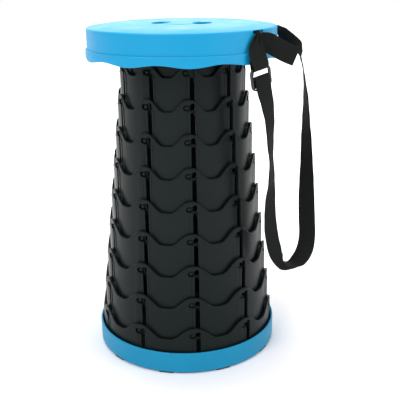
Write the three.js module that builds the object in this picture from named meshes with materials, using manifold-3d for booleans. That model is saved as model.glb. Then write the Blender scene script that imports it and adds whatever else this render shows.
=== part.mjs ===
// Collapsible telescopic stool: a round seat on ten nested wavy rings that stand in a base tray.
// Millimetres, Z up, origin on the floor under the middle of the stool, front towards -Y.

import * as THREE from 'three';
import { mergeVertices } from 'three/addons/utils/BufferGeometryUtils.js';
import Module from 'manifold-3d';

const wasm = await Module();
wasm.setup();

// Driving dimensions
const seat_height = 446;
const base_height = 30;
const base_radius = 126.3;
const foot_standoff = 1.2;
const floor_thickness = 2;
const sectors = 10;
const moving_rings = 8;
const sleeve_height = 61.2;
const first_link_drop = 3.6;
const ring_step = 4.8;
const ring_wall = 2.4;

// Clearances
const seat_gap = 0.3;
const running_gap = 0.35;
const tray_play = 2.3;
const cover_play = 0.8;
const overrun = 1;

// Wavy rim of a ring
const wave_depth = 15.8;
const bump_share = 0.85;
const crest_fullness = 1.22;
const feature_half_width = 8.6;
const crest_point_spacing = 4.3;
const link_steps = 5;

// Bayonet slot, pocket and peg of a ring
const peg_radius = 3.2;
const pocket_radius = 3.6;
const pocket_below_crest = 10.4;
const pocket_left = 3.1;
const slot_width = 4.8;
const slot_right = 3.1;
const slot_below_crest = 4.6;
const groove_depth = 1.45;
const peg_above_foot = 10.4;
const peg_sides = 8;

// Snap lugs that hold the outermost ring in the tray
const lug_width = 12;
const lug_height = 4;
const lug_above_foot = 8;
const lug_reach = 3.1;

// Base tray
const tray_wall = 2.4;
const tray_corner = 2.5;
const tray_lip_radius = 0.9;
const tray_flange = 22.3;

// Rubber feet
const foot_count = 10;
const foot_inset = 10.3;
const foot_length = 22;
const foot_width = 9;
const foot_recess = 0.8;

// Seat cover
const cover_thickness = 3;
const cover_wall = 2.1;
const cover_edge = 3.5;
const rib_depth = 3.6;
const rib_width = 2;
const rib_setback = 5.6;

// Seat rim
const rim_ledge = 2.1;
const rim_band = 1.8;
const rim_top_drop = 29.8;
const rim_arch_drop = 39.9;
const lobe_depth = 3.7;
const rim_shoulder = 2.2;

// Finger holes and the hand grip in the middle of the seat
const grip_radius_share = 0.614;
const grip_half_width_share = 0.42;
const grip_turn = -8;
const grip_lip = 9;
const grip_wall = 2;

// Sleeve ears, cover bosses and their screws
const boss_inset = 10;
const boss_radius = 4.5;
const boss_height = 6;
const screw_count = 5;
const screw_radius = 1.6;
const screw_head_radius = 3.4;
const screw_head_height = 2;
const screw_grip = 5;
const screw_taper_share = 0.75;
const ear_width = 12;
const ear_thickness = 2;

// Carry strap, its end loop, its tail and its buckle
const strap_width = 24;
const strap_thickness = 1.4;
const loop_slot_azimuth = 43.2;
const loop_slot_length = 19;
const strap_slot_azimuth = 92.4;
const strap_slot_length = 26;
const strap_slot_height = 3;
const strap_slot_drop = 4.3;
const route_seat_height = 446;
const route_cover_radius = 124.5;
const buckle_width = 33;
const buckle_height = 28.5;
const buckle_depth = 2.4;
const buckle_bar_height = 2.6;
const buckle_rail = 4;
const buckle_centre = [87.2, -100.8, 386.5];
const buckle_turn = 32;
const buckle_tilt = 10;

// Facets of the round parts
const steps_per_sector = 6;
const screw_sides = 8;
const cover_edge_steps = 2;
const finger_curve_steps = 6;
const weld_distance = 1e-4;

// Worked-out sizes
const sector_angle = 2 * Math.PI / sectors;
const sleeve_number = moving_rings + 1;
const tray_bottom = foot_standoff;
const tray_floor_top = tray_bottom + floor_thickness;
const first_foot = tray_floor_top + seat_gap;
const cover_underside = seat_height - cover_thickness;
const rim_bottom = seat_height - rim_arch_drop - lobe_depth;
const sleeve_top = cover_underside - seat_gap;
const ring_span = sleeve_top - sleeve_height + first_link_drop - first_foot;
const ring_rise = ring_span / sleeve_number;
const outer_ring_radius = base_radius - tray_wall - tray_play;
const sleeve_radius = outer_ring_radius - sleeve_number * ring_step;
const cover_radius = outer_ring_radius + cover_play + cover_wall;
const rim_radius = cover_radius + rim_ledge;
const rib_inner_radius = sleeve_radius + rib_setback;
const boss_circle = sleeve_radius - ring_wall - boss_inset;
const grip_radius = boss_circle * grip_radius_share;
const grip_half_width = grip_radius * grip_half_width_share;
const foot_circle = base_radius - foot_inset;
const plate_radius = base_radius - tray_flange - seat_gap;
const round_steps = sectors * steps_per_sector;

const deg = THREE.MathUtils.degToRad;

// Colours and finishes
const finish = (color, roughness, metalness = 0) =>
  new THREE.MeshStandardMaterial({ color, roughness, metalness });
const blue_plastic = finish(0x1e9fe0, 0.42);
const black_plastic = finish(0x26292b, 0.48);
const black_webbing = finish(0x141416, 0.85);
const black_rubber = finish(0x1c1d1f, 0.8);
const bright_steel = finish(0xa9adb2, 0.3, 1);

// Closed meshes and solids
function closed(geometry) {
  geometry.deleteAttribute('normal');
  geometry.deleteAttribute('uv');
  return mergeVertices(geometry, weld_distance);
}

function solid(geometry) {
  const shell = closed(geometry);
  const vertProperties = new Float32Array(shell.attributes.position.array);
  const triVerts = new Uint32Array(shell.index.array);
  return new wasm.Manifold(new wasm.Mesh({ numProp: 3, vertProperties, triVerts }));
}

function geometryOf(body) {
  const mesh = body.getMesh();
  const geometry = new THREE.BufferGeometry();
  geometry.setAttribute('position', new THREE.BufferAttribute(mesh.vertProperties, mesh.numProp));
  geometry.setIndex(new THREE.BufferAttribute(mesh.triVerts, 1));
  geometry.computeVertexNormals();
  return geometry;
}

function piece(name, body, material) {
  const mesh = new THREE.Mesh(geometryOf(body), material);
  mesh.name = name;
  return mesh;
}

// A point on a circle, by its angle from the front towards +X
function around(radius, angle, z) {
  return [radius * Math.sin(angle), -radius * Math.cos(angle), z];
}

// A ring whose cross-section may change round the circle
function sweptRing(stations, profileAt) {
  const rows = stations.map((station) => profileAt(station));
  const count = rows[0].length;
  const positions = rows.flat(2);
  const index = [];
  rows.forEach((row, i) => {
    const next = (i + 1) % rows.length;
    for (let j = 0; j < count; j += 1) {
      const k = (j + 1) % count;
      const [a, b, c, d] = [i * count + j, i * count + k, next * count + k, next * count + j];
      index.push(a, d, c, a, c, b);
    }
  });
  const geometry = new THREE.BufferGeometry();
  geometry.setAttribute('position', new THREE.Float32BufferAttribute(positions, 3));
  geometry.setIndex(index);
  return solid(geometry);
}

function evenAngles(count) {
  return Array.from({ length: count }, (_, i) => i * 2 * Math.PI / count);
}

// A round part made by turning an outline of radius and height about Z
function turned(outline, steps = round_steps) {
  const points = outline.map(([radius, z]) => new THREE.Vector2(radius, z));
  const geometry = new THREE.LatheGeometry([...points, points[0].clone()], steps);
  return solid(geometry.rotateX(Math.PI / 2));
}

function disc(radius, bottom, top, steps) {
  const geometry = new THREE.CylinderGeometry(radius, radius, top - bottom, steps);
  return solid(geometry.rotateX(Math.PI / 2).translate(0, 0, (bottom + top) / 2));
}

// A flat outline in the tangent plane, pushed outwards from one depth to another at an angle
function radialPrism(shape, from, to, angle, curve_steps) {
  const options = { depth: to - from, bevelEnabled: false, curveSegments: curve_steps };
  const geometry = new THREE.ExtrudeGeometry(shape, options);
  geometry.rotateX(Math.PI / 2).translate(0, -from, 0).rotateZ(angle);
  return solid(geometry);
}

function rectangle(left, right, bottom, top) {
  const shape = new THREE.Shape();
  shape.moveTo(left, bottom);
  shape.lineTo(right, bottom);
  shape.lineTo(right, top);
  shape.lineTo(left, top);
  shape.closePath();
  return shape;
}

function radialBox(width, bottom, top, from, to, angle) {
  return radialPrism(rectangle(-width / 2, width / 2, bottom, top), from, to, angle, 1);
}

function unionOf(bodies) {
  return bodies.reduce((sum, body) => sum.add(body));
}

// Rings: ten flat panels, one under each crest of the wavy rim, joined by links of wall
const ringRadius = (n) => outer_ring_radius - n * ring_step;
const ringFoot = (n) => first_foot + (n > 0 ? n * ring_rise - first_link_drop : 0);
const ringCrest = (n) => ringFoot(n + 1) + peg_above_foot + pocket_below_crest;
const panelAngle = (radius) => feature_half_width / radius;
const panelDepth = (radius, outer_radius) => radius * Math.cos(panelAngle(outer_radius));

// Drop of the rim below the crest, at a share of a sector from the middle of the panel
function waveDrop(angle_share) {
  const from_crest = Math.abs(angle_share - Math.round(angle_share));
  const across = Math.min(2 * from_crest / bump_share, 1) ** crest_fullness;
  return wave_depth * (1 - Math.cos(Math.PI * across)) / 2;
}

// The window is a long slot with a side pocket at its top, where the next ring's peg is locked
function windowLoop(foot, crest) {
  const left = slot_right - slot_width / 2;
  const right = slot_right + slot_width / 2;
  const slot_bottom = foot + peg_above_foot - pocket_radius;
  const slot_top = crest - slot_below_crest;
  const corner = slot_width / 2 * (1 - Math.tan(Math.PI / 8));
  const ceiling = crest - pocket_below_crest + pocket_radius;
  const arch_left = left + corner - (slot_top - ceiling);
  return [
    [left, slot_bottom], [right, slot_bottom], [right, slot_top - corner],
    [right - corner, slot_top], [left + corner, slot_top], [arch_left, ceiling],
    ...pocketEnd(crest), [left, crest - pocket_below_crest - pocket_radius],
  ];
}

function pocketEnd(crest) {
  const middle = crest - pocket_below_crest;
  const flat = pocket_radius * Math.tan(Math.PI / 8);
  const end = -pocket_left - pocket_radius;
  return [
    [-pocket_left - flat, middle + pocket_radius], [end, middle + flat],
    [end, middle - flat], [-pocket_left - flat, middle - pocket_radius],
  ];
}

// The groove is a blind channel inside the wall, where the peg slides below its pocket
function grooveLoop(foot, crest) {
  const low = foot + peg_above_foot - pocket_radius;
  const left = slot_right - slot_width / 2;
  const end = -pocket_left - pocket_radius;
  const lower_pocket = pocketEnd(crest).slice(2).reverse();
  return [
    [end, low], [left, low], [left, crest - pocket_below_crest - pocket_radius], ...lower_pocket,
  ];
}

// Window and groove together, as the opening in the inner face
function innerLoop(foot, crest) {
  return [...windowLoop(foot, crest).slice(0, -2), grooveLoop(foot, crest)[0]];
}

function pegLoop(foot) {
  return Array.from({ length: peg_sides }, (_, i) => {
    const turn = (i + 1 / 2) * 2 * Math.PI / peg_sides;
    return [-pocket_left + peg_radius * Math.cos(turn),
      foot + peg_above_foot + peg_radius * Math.sin(turn)];
  });
}

// The peg reaches outwards across the gap and into the groove of the next ring out
function pegTip(n) {
  const outer = ringRadius(n - 1);
  return panelDepth(outer - ring_wall, outer) + groove_depth - running_gap;
}

// Triangles of a flat face at a depth from the axis, facing outwards or inwards
function faceAt(depth, contour, holes, outwards) {
  const outline = contour.map(([x, z]) => new THREE.Vector2(x, z));
  const openings = holes.map((hole) => hole.map(([x, z]) => new THREE.Vector2(x, z)));
  const points = [...outline, ...openings.flat()];
  return THREE.ShapeUtils.triangulateShape(outline, openings).map((corners) => {
    const [a, b, c] = corners.map((i) => points[i]);
    const area = (b.x - a.x) * (c.y - a.y) - (c.x - a.x) * (b.y - a.y);
    const ordered = (area > 0) === outwards ? [a, b, c] : [a, c, b];
    return ordered.map((point) => [point.x, -depth, point.y]);
  });
}

function quad(a, b, c, d) {
  return [[a, b, c], [a, c, d]];
}

// A wall between two depths, facing to the left of its run
function wallBetween([x1, z1], [x2, z2], outer_depth, inner_depth) {
  return quad([x1, -outer_depth, z1], [x2, -outer_depth, z2],
    [x2, -inner_depth, z2], [x1, -inner_depth, z1]);
}

// The same wall with a further corner part way down its first or its last edge
function splitWall([x1, z1], [x2, z2], outer_depth, inner_depth, start_depth, end_depth) {
  const loop = [[x1, -outer_depth, z1], [x2, -outer_depth, z2]];
  if (end_depth !== inner_depth) loop.push([x2, -end_depth, z2]);
  loop.push([x2, -inner_depth, z2], [x1, -inner_depth, z1]);
  if (start_depth !== inner_depth) loop.push([x1, -start_depth, z1]);
  if (end_depth !== inner_depth) loop.push(...loop.splice(0, 2));
  const apex = loop.length - 1;
  return loop.slice(1, -1).map((_, i) => [loop[apex], loop[i], loop[i + 1]]);
}

// One panel, at the front of the ring
function panelTriangles({ n, foot, crest, wavy, windowed, pegged }) {
  const radius = ringRadius(n);
  const outside = panelDepth(radius, radius);
  const inside = panelDepth(radius - ring_wall, radius);
  const edge = panelAngle(radius);
  const half = edge / sector_angle;
  const crest_step = crest_point_spacing / radius / sector_angle;
  const shares = wavy ? [half, crest_step, 0, -crest_step, -half] : [half, -half];
  const contour = (depth) => [
    [-depth * Math.tan(edge), foot], [depth * Math.tan(edge), foot],
    ...shares.map((share) => [
      depth * Math.tan(share * sector_angle), wavy ? crest - waveDrop(share) : crest,
    ]),
  ];
  const outer = contour(outside);
  const inner = contour(inside);
  const triangles = [];
  const outer_holes = [];
  const inner_holes = [];
  if (windowed) {
    const groove_floor = inside + groove_depth;
    const window_loop = windowLoop(foot, crest);
    const groove = grooveLoop(foot, crest);
    outer_holes.push(window_loop);
    inner_holes.push(innerLoop(foot, crest));
    triangles.push(...faceAt(groove_floor, groove, [], false));
    const last = window_loop.length - 1;
    window_loop.forEach((from, i) => {
      const to = window_loop[(i + 1) % window_loop.length];
      const beside_groove = i > last - 3;
      const start = i === 0 ? groove_floor : inside;
      const finish_depth = i === last - 3 ? groove_floor : inside;
      triangles.push(...(beside_groove
        ? wallBetween(from, to, outside, groove_floor)
        : splitWall(from, to, outside, inside, start, finish_depth)));
    });
    triangles.push(...wallBetween(groove[0], groove[1], groove_floor, inside));
    triangles.push(...wallBetween(groove[4], groove[0], groove_floor, inside));
  }
  if (pegged) {
    const loop = pegLoop(foot);
    outer_holes.push(loop);
    loop.forEach((from, i) => {
      const to = loop[(i + 1) % loop.length];
      triangles.push(...wallBetween(to, from, pegTip(n), outside));
    });
    triangles.push(...faceAt(pegTip(n), loop, [], true));
  }
  triangles.push(...faceAt(outside, outer, outer_holes, true));
  triangles.push(...faceAt(inside, inner, inner_holes, false));
  outer.forEach(([x1, z1], i) => {
    const k = (i + 1) % outer.length;
    const upright = i === 1 || k === 0;
    if (upright) return;
    const [x2, z2] = outer[k];
    triangles.push(...quad([inner[i][0], -inside, z1], [inner[k][0], -inside, z2],
      [x2, -outside, z2], [x1, -outside, z1]));
  });
  return triangles;
}

// The curved wall from one panel to the next
function linkTriangles({ n, foot, crest, wavy }) {
  const radius = ringRadius(n);
  const half = panelAngle(radius) / sector_angle;
  const edges = Array.from({ length: link_steps + 1 }, (_, step) => {
    const share = half + (1 - 2 * half) * step / link_steps;
    const z = wavy ? crest - waveDrop(share) : crest;
    const at = (r, height) => around(r, share * sector_angle, height);
    return [at(radius, foot), at(radius, z), at(radius - ring_wall, z), at(radius - ring_wall, foot)];
  });
  return edges.slice(1).flatMap((b, i) => {
    const a = edges[i];
    return [0, 1, 2, 3].flatMap((j) => {
      const k = (j + 1) % 4;
      return quad(a[j], b[j], b[k], a[k]);
    });
  });
}

function ringShell(options) {
  const corners = [...panelTriangles(options), ...linkTriangles(options)].flat();
  const positions = [];
  for (let i = 0; i < sectors; i += 1) {
    const [c, s] = [Math.cos(i * sector_angle), Math.sin(i * sector_angle)];
    corners.forEach(([x, y, z]) => positions.push(c * x - s * y, s * x + c * y, z));
  }
  const geometry = new THREE.BufferGeometry();
  geometry.setAttribute('position', new THREE.Float32BufferAttribute(positions, 3));
  return solid(geometry);
}

// The outermost ring stays in the tray, held by a snap lug under each trough
function addLugs(body, foot) {
  const from = outer_ring_radius - ring_wall / 2;
  const to = outer_ring_radius + lug_reach;
  const bottom = foot + lug_above_foot;
  const lugs = Array.from({ length: sectors }, (_, i) => {
    return radialBox(lug_width, bottom, bottom + lug_height, from, to, (i + 1 / 2) * sector_angle);
  });
  return body.add(unionOf(lugs));
}

function ring(n) {
  const foot = ringFoot(n);
  const crest = ringCrest(n);
  const body = ringShell({ n, foot, crest, wavy: true, windowed: true, pegged: n > 0 });
  return n === 0 ? addLugs(body, foot) : body;
}

// The innermost ring is the sleeve of the seat: a plain top and an inward ear for each screw
function seatSleeve() {
  const n = sleeve_number;
  const body = ringShell({
    n, foot: ringFoot(n), crest: sleeve_top, wavy: false, windowed: false, pegged: true,
  });
  const top = cover_underside - boss_height - seat_gap;
  const outer = ringRadius(n) - ring_wall / 2;
  const ears = screwAngles().map((angle) => {
    return radialBox(ear_width, top - ear_thickness, top, boss_circle - boss_radius, outer, angle);
  });
  const holes = screwAngles().map((angle) => {
    const [x, y] = around(boss_circle, angle, 0);
    return disc(screw_radius + seat_gap, top - ear_thickness - overrun, top + overrun, screw_sides)
      .translate([x, y, 0]);
  });
  return body.add(unionOf(ears)).subtract(unionOf(holes));
}

function screwAngles() {
  return Array.from({ length: screw_count }, (_, i) => (i + 1 / 2) * 2 * Math.PI / screw_count);
}

// Base tray: a wall with a flange turned in under the rings, its lug pockets and foot recesses
function baseTray() {
  const inner = base_radius - tray_wall;
  const lip = tray_lip_radius;
  const flange_edge = base_radius - tray_flange;
  const body = turned([
    [flange_edge, tray_bottom], [base_radius - tray_corner, tray_bottom],
    [base_radius, tray_bottom + tray_corner], [base_radius, base_height - lip],
    [base_radius - lip, base_height], [inner, base_height],
    [inner, tray_floor_top], [flange_edge, tray_floor_top],
  ]);
  const cuts = [];
  for (let i = 0; i < sectors; i += 1) {
    const bottom = first_foot + lug_above_foot - seat_gap;
    const top = bottom + lug_height + 2 * seat_gap;
    const depth = outer_ring_radius + lug_reach + seat_gap;
    const width = lug_width + 2 * seat_gap;
    cuts.push(radialBox(width, bottom, top, inner - overrun, depth, (i + 1 / 2) * sector_angle));
  }
  footAngles().forEach((angle) => {
    const width = foot_length + 2 * seat_gap;
    const from = foot_circle - foot_width / 2 - seat_gap;
    const to = foot_circle + foot_width / 2 + seat_gap;
    cuts.push(radialBox(width, tray_bottom - overrun, tray_bottom + foot_recess, from, to, angle));
  });
  return body.subtract(unionOf(cuts));
}

// Base plate: the dark floor that snaps into the tray's flange, inside the rings' feet
function basePlate() {
  return disc(plate_radius, tray_bottom, tray_floor_top, round_steps);
}

function footAngles() {
  return Array.from({ length: foot_count }, (_, i) => (i + 1 / 2) * 2 * Math.PI / foot_count);
}

function rubberFoot(angle) {
  const top = tray_bottom + foot_recess - seat_gap;
  const from = foot_circle - foot_width / 2;
  return radialBox(foot_length, 0, top, from, from + foot_width, angle);
}

// Half of the round grip outline, left of the bridge or right of it
function fingerShape(side, grow) {
  const edge = grip_half_width - grow;
  const radius = grip_radius + grow;
  const turn = Math.acos(edge / radius);
  const shape = new THREE.Shape();
  shape.moveTo(edge, -radius * Math.sin(turn));
  shape.absarc(0, 0, radius, -turn, turn, false);
  shape.closePath();
  return { shape, turn: side > 0 ? 0 : Math.PI };
}

function fingerPrism(side, grow, bottom, top) {
  const { shape, turn } = fingerShape(side, grow);
  const options = { depth: top - bottom, bevelEnabled: false, curveSegments: finger_curve_steps };
  const geometry = new THREE.ExtrudeGeometry(shape, options);
  return solid(geometry.translate(0, 0, bottom).rotateZ(turn + deg(grip_turn)));
}

// Seat cover: a flat top with a side wall, finger holes, ribs, screw bosses and strap slots
function seatCover() {
  const wall_bottom = rim_bottom + lobe_depth + rim_shoulder + seat_gap;
  const inner = cover_radius - cover_wall;
  const outline = [[0, seat_height]];
  for (let i = 0; i <= cover_edge_steps; i += 1) {
    const turn = Math.PI / 2 * i / cover_edge_steps;
    const r = cover_radius - cover_edge * (1 - Math.sin(turn));
    outline.push([r, seat_height - cover_edge * (1 - Math.cos(turn))]);
  }
  outline.push([cover_radius, wall_bottom], [inner, wall_bottom], [inner, cover_underside]);
  outline.push([0, cover_underside]);
  let body = turned(outline.reverse());
  const adds = screwAngles().map((angle) => {
    const [x, y] = around(boss_circle, angle, 0);
    return disc(boss_radius, cover_underside - boss_height, cover_underside + overrun, screw_sides)
      .translate([x, y, 0]);
  });
  for (let i = 0; i < sectors; i += 1) {
    const bottom = cover_underside - rib_depth;
    const top = cover_underside + cover_thickness / 2;
    adds.push(radialBox(rib_width, bottom, top, rib_inner_radius, inner + cover_wall / 2,
      (i + 3 / 4) * sector_angle));
  }
  [-1, 1].forEach((side) => {
    adds.push(fingerPrism(side, grip_wall, seat_height - grip_lip, cover_underside + overrun));
  });
  body = body.add(unionOf(adds));
  const cuts = [-1, 1].map((side) => {
    return fingerPrism(side, 0, seat_height - grip_lip - overrun, seat_height + overrun);
  });
  screwAngles().forEach((angle) => {
    const [x, y] = around(boss_circle, angle, 0);
    const bottom = cover_underside - boss_height - overrun;
    cuts.push(disc(screw_radius + seat_gap, bottom, screwTop() + seat_gap, screw_sides)
      .translate([x, y, 0]));
  });
  const strap_slots = [
    [loop_slot_azimuth, loop_slot_length],
    [strap_slot_azimuth, strap_slot_length],
  ];
  strap_slots.forEach(([turn, length]) => {
    const top = seat_height - strap_slot_drop;
    cuts.push(radialBox(length, top - strap_slot_height, top, inner - cover_wall,
      cover_radius + overrun, deg(turn)));
  });
  return body.subtract(unionOf(cuts));
}

function screwHeadTop() {
  return cover_underside - boss_height - ear_thickness - 2 * seat_gap;
}

function screwTop() {
  return screwHeadTop() + ear_thickness + screw_grip;
}

function sleeveScrew(angle) {
  const head_top = screwHeadTop();
  const [x, y] = around(boss_circle, angle, 0);
  return turned([
    [0, head_top - screw_head_height], [screw_head_radius * screw_taper_share, head_top - screw_head_height],
    [screw_head_radius, head_top], [screw_radius, head_top],
    [screw_radius, screwTop()], [0, screwTop()],
  ], screw_sides).translate([x, y, 0]);
}

// Seat rim: a band round the foot of the cover wall, turned in under it, with ten low lobes
function seatRim() {
  const top = seat_height - rim_top_drop;
  const band_inside = rim_radius - rim_band;
  const shoulder_inside = cover_radius - cover_wall;
  return sweptRing(evenAngles(round_steps), (angle) => {
    const lobe = lobe_depth * (1 + Math.cos(sectors * angle)) / 2;
    const bottom = rim_bottom + lobe_depth - lobe;
    const shoulder = rim_bottom + lobe_depth + rim_shoulder;
    return [[rim_radius, bottom], [rim_radius, top], [band_inside, top], [band_inside, shoulder],
      [shoulder_inside, shoulder], [shoulder_inside, bottom]]
      .map(([r, z]) => around(r, angle, z));
  });
}

// A route point, moved with the seat's height and with the cover's radius
function fitted([x, y, z]) {
  const distance = Math.hypot(x, y);
  const moved = (distance + cover_radius - route_cover_radius) / distance;
  return [x * moved, y * moved, z + seat_height - route_seat_height];
}

// Webbing: a flat band along a route, whose width points along a given direction at each point
function webbing(route, across, width_shares = []) {
  const path = route.map((point) => new THREE.Vector3(...fitted(point)));
  const half = strap_thickness / 2;
  const rows = path.map((point, i) => {
    const before = path[Math.max(i - 1, 0)];
    const after = path[Math.min(i + 1, path.length - 1)];
    const along = after.clone().sub(before).normalize();
    const side = new THREE.Vector3(...across[i]);
    side.addScaledVector(along, -side.dot(along)).normalize();
    const face = along.clone().cross(side);
    const half_width = strap_width / 2 * (width_shares[i] ?? 1);
    return [[-1, -1], [1, -1], [1, 1], [-1, 1]].map(([a, b]) => point.clone()
      .addScaledVector(side, a * half_width).addScaledVector(face, b * half).toArray());
  });
  return bandSolid(rows);
}

function bandSolid(rows) {
  const count = rows[0].length;
  const index = [];
  for (let i = 0; i < rows.length - 1; i += 1) {
    for (let j = 0; j < count; j += 1) {
      const k = (j + 1) % count;
      const [a, b, c, d] = [i * count + j, i * count + k, (i + 1) * count + k, (i + 1) * count + j];
      index.push(a, b, c, a, c, d);
    }
  }
  const last = (rows.length - 1) * count;
  index.push(0, 2, 1, 0, 3, 2);
  index.push(last, last + 1, last + 2, last, last + 2, last + 3);
  const geometry = new THREE.BufferGeometry();
  geometry.setAttribute('position', new THREE.Float32BufferAttribute(rows.flat(2), 3));
  geometry.setIndex(index);
  return solid(geometry);
}

// Width direction of webbing at a turn in degrees from +X towards +Y, raised by a tilt
const widthAt = (turn, tilt = 0) => [
  Math.cos(deg(tilt)) * Math.cos(deg(turn)), Math.cos(deg(tilt)) * Math.sin(deg(turn)), Math.sin(deg(tilt)),
];

// The end loop leaves the front-right slot gathered, opens out, hangs to the buckle and doubles
// back behind its top bar
const loop_route = [
  [74.7, -84.8, 440.2], [79.8, -90.6, 440.2], [82.6, -94.2, 440], [83.6, -96.6, 437.6],
  [81.6, -100.2, 431], [80.6, -104.4, 421], [82, -106.4, 413], [84.4, -106, 407],
  [86.5, -105.2, 403.2], [86.8, -104.4, 399.3], [86.6, -103.5, 397.3], [85.7, -101.7, 396.5],
  [84.5, -100.1, 397.3], [83.8, -99.6, 399.3], [83.1, -99.9, 403.7], [82.3, -100.1, 408.1],
];
const loop_turns = [41, 41, 38, 32, 16, 8, 18, 28];
const loop_width_shares = [0.3, 0.3, 0.26, 0.26, 0.6, 0.94];

// The long strap doubles round the buckle's middle bar, hangs in a bight and rises to the slot on
// the right, where it turns over so that its front edge lies on top
const strap_route = [
  [87.2, -96.9, 374.7], [86.8, -97.4, 378.4], [86.3, -97.9, 382.3], [85.7, -98.4, 386.5],
  [85.9, -99.3, 388.5], [86.8, -101.1, 389.3], [87.9, -102.7, 388.5], [88.7, -103.2, 386.5],
  [89.4, -102.9, 382.3], [90.5, -102.7, 376.5], [91.4, -103.2, 371], [95.2, -101.8, 357],
  [99.4, -98.9, 334], [100.9, -98, 308], [103, -96.2, 282], [104.1, -94.3, 255],
  [103.6, -91.2, 227], [104.3, -88.3, 206], [106.8, -84.4, 183], [113.6, -79, 153],
  [123.7, -73.7, 133], [137.2, -67.7, 124.5], [151, -61.8, 129], [160.5, -56.5, 142],
  [164.4, -51.8, 161], [164.3, -47.7, 182], [163.9, -43.7, 209], [163.7, -40.7, 237],
  [163.5, -37.7, 264], [163, -34.6, 291], [162.4, -31.5, 318], [162, -28.5, 345],
  [160, -25.3, 371], [157.6, -22, 390], [154.9, -17.5, 401.5], [150.8, -12.4, 409],
  [146.6, -7.6, 415], [142.8, -3.6, 420], [139.2, -0.4, 424.4], [136, 2.4, 428.6],
  [132.6, 4.6, 433.4], [129, 5.3, 438.7], [125.4, 5.2, 440.2], [112.9, 4.7, 440.2],
];
const strap_turns = [
  33, 40, 56, 67, 76, 65, 55, 49, 46, 55, 80, 105, 122, 130, 131, 130, 124, 118, 112, 104, 96, 88,
  80, 76,
];
const strap_top_across_shares = [
  [0, 0.95, 0.3], [0, 0.75, 0.66], [0, 0.2, 0.98], [0.05, -0.15, 0.97], [0.06, -0.4, 0.9],
  [0.06, -0.58, 0.79], [0.05, -0.78, 0.56], [0.04, -0.99, 0.1], [0.04, -1, 0], [0.04, -1, 0],
];

// The free tail lies on the cover behind the end loop and stands out to the right
const tail_route = [
  [82.7, -94.9, 430], [88.4, -91.4, 429.2], [98, -88, 426.8], [108.5, -87.6, 421],
  [121, -87.4, 414.3], [133.2, -86.6, 409.2],
];
const tail_across_shares = [
  [0, 0, 1], [0.05, 0, 1], [0.25, 0, 0.97], [0.33, 0, 0.94], [0.32, 0, 0.95], [0.28, 0, 0.96],
];
const tail_width_shares = [0.45, 0.9];

// Width directions of a route's points at the buckle, whose bars they lie along
function alongBars(count) {
  return new Array(count).fill(widthAt(buckle_turn, buckle_tilt));
}

function endLoop() {
  const hanging = loop_turns.map((turn) => widthAt(turn));
  const at_buckle = alongBars(loop_route.length - hanging.length);
  return webbing(loop_route, [...hanging, ...at_buckle], loop_width_shares);
}

function carryStrap() {
  const rest = [...strap_turns.map((turn) => widthAt(turn)), ...strap_top_across_shares];
  return webbing(strap_route, [...alongBars(strap_route.length - rest.length), ...rest]);
}

function strapTail() {
  return webbing(tail_route, tail_across_shares, tail_width_shares);
}

// Buckle: a flat ladder of three bars between two rails, its top bar inside the end loop
function buckle() {
  const window_height = (buckle_height - 3 * buckle_bar_height) / 2;
  const window_width = buckle_width - 2 * buckle_rail;
  const window_middle = (buckle_bar_height + window_height) / 2;
  const frame = radialBox(buckle_width, -buckle_height / 2, buckle_height / 2,
    -buckle_depth / 2, buckle_depth / 2, 0);
  const windows = [-1, 1].map((side) => {
    const middle = side * window_middle;
    return radialBox(window_width, middle - window_height / 2, middle + window_height / 2,
      -buckle_depth, buckle_depth, 0);
  });
  return frame.subtract(unionOf(windows)).rotate([0, -buckle_tilt, buckle_turn])
    .translate(fitted(buckle_centre));
}

// Assembly
function assemble() {
  const stool = new THREE.Group();
  const base = new THREE.Group();
  const column = new THREE.Group();
  const seat = new THREE.Group();
  const strap = new THREE.Group();
  base.add(piece('base_tray', baseTray(), blue_plastic));
  base.add(piece('base_plate', basePlate(), black_plastic));
  footAngles().forEach((angle, i) => {
    base.add(piece(`rubber_foot_${i + 1}`, rubberFoot(angle), black_rubber));
  });
  for (let n = 0; n <= moving_rings; n += 1) {
    column.add(piece(`tube_ring_${n + 1}`, ring(n), black_plastic));
  }
  seat.add(piece('seat_sleeve', seatSleeve(), black_plastic));
  seat.add(piece('seat_cover', seatCover(), blue_plastic));
  seat.add(piece('seat_rim', seatRim(), blue_plastic));
  screwAngles().forEach((angle, i) => {
    seat.add(piece(`sleeve_screw_${i + 1}`, sleeveScrew(angle), bright_steel));
  });
  strap.add(piece('strap_end_loop', endLoop(), black_webbing));
  strap.add(piece('strap_buckle', buckle(), black_plastic));
  strap.add(piece('carry_strap', carryStrap(), black_webbing));
  strap.add(piece('strap_tail', strapTail(), black_webbing));
  seat.add(strap);
  stool.add(base, column, seat);
  return stool;
}

export default assemble();
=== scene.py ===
"""Collapsible telescopic stool: the finish of every piece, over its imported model.

Shapes are worked out in millimetres in the model's own frame, and place() turns them to metres.
Angles round the stool start at the front, at -Y, and grow towards +X.
"""

import math

import bmesh
import bpy
from mathutils import Matrix, Vector


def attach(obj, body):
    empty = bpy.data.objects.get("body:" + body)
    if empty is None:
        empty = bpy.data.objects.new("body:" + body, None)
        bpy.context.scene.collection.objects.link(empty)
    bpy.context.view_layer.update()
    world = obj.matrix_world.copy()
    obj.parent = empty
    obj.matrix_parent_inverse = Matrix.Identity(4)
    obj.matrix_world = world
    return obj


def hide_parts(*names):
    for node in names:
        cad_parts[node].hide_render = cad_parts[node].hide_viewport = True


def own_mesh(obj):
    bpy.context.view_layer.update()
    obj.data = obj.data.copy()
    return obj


MM = 0.001
TURN = 2 * math.pi

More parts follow.
